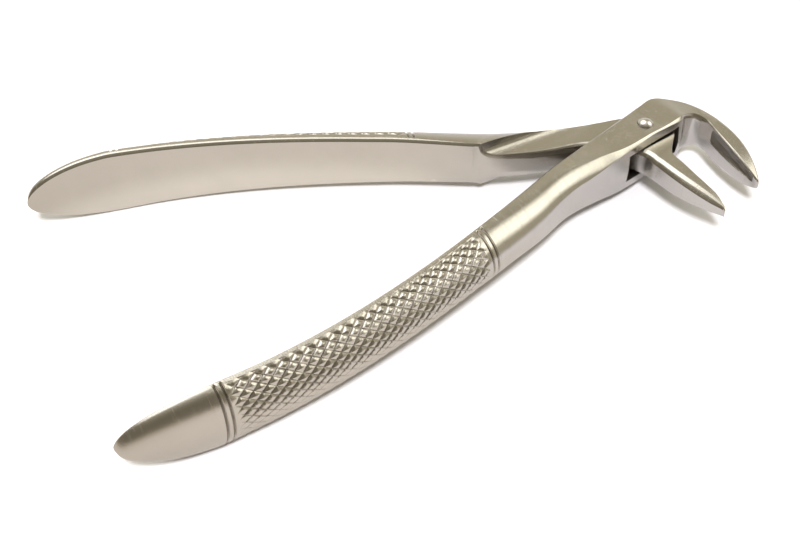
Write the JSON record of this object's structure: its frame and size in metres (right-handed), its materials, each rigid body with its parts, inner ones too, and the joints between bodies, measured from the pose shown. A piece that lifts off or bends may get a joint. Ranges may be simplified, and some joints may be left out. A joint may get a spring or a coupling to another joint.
{
  "type": "dental forceps",
  "caption": "Tooth extraction forceps for lower roots, with a box joint, knurled bowed handles and tapered curved beaks at a right angle to the handles.",
  "frame": {"origin": "on the axis of the pivot, at the underside of the joint box", "axes": "+X runs from the handles to the bend of the beaks, halfway between the two arms; the beaks point to -Y; +Z is the axis of the pivot, out of the rivet's domed head"},
  "size_m": [0.1398, 0.0736, 0.0149],
  "materials": {
    "arm_steel": "satin, glass-bead finish with polished edges",
    "rivet_steel": "polished"
  },
  "bodies": {
    "box_side": {"box_arm": "arm_steel", "pivot_rivet": "rivet_steel"},
    "tongue_side": {"tongue_arm": "arm_steel"}
  },
  "joints": [
    {"name": "pivot", "type": "hinge", "parent": "box_side", "child": "tongue_side", "pos_m": [0, 0, 0.00563], "axis": [0, 0, 1], "range_deg": [-30, 24]}
  ]
}
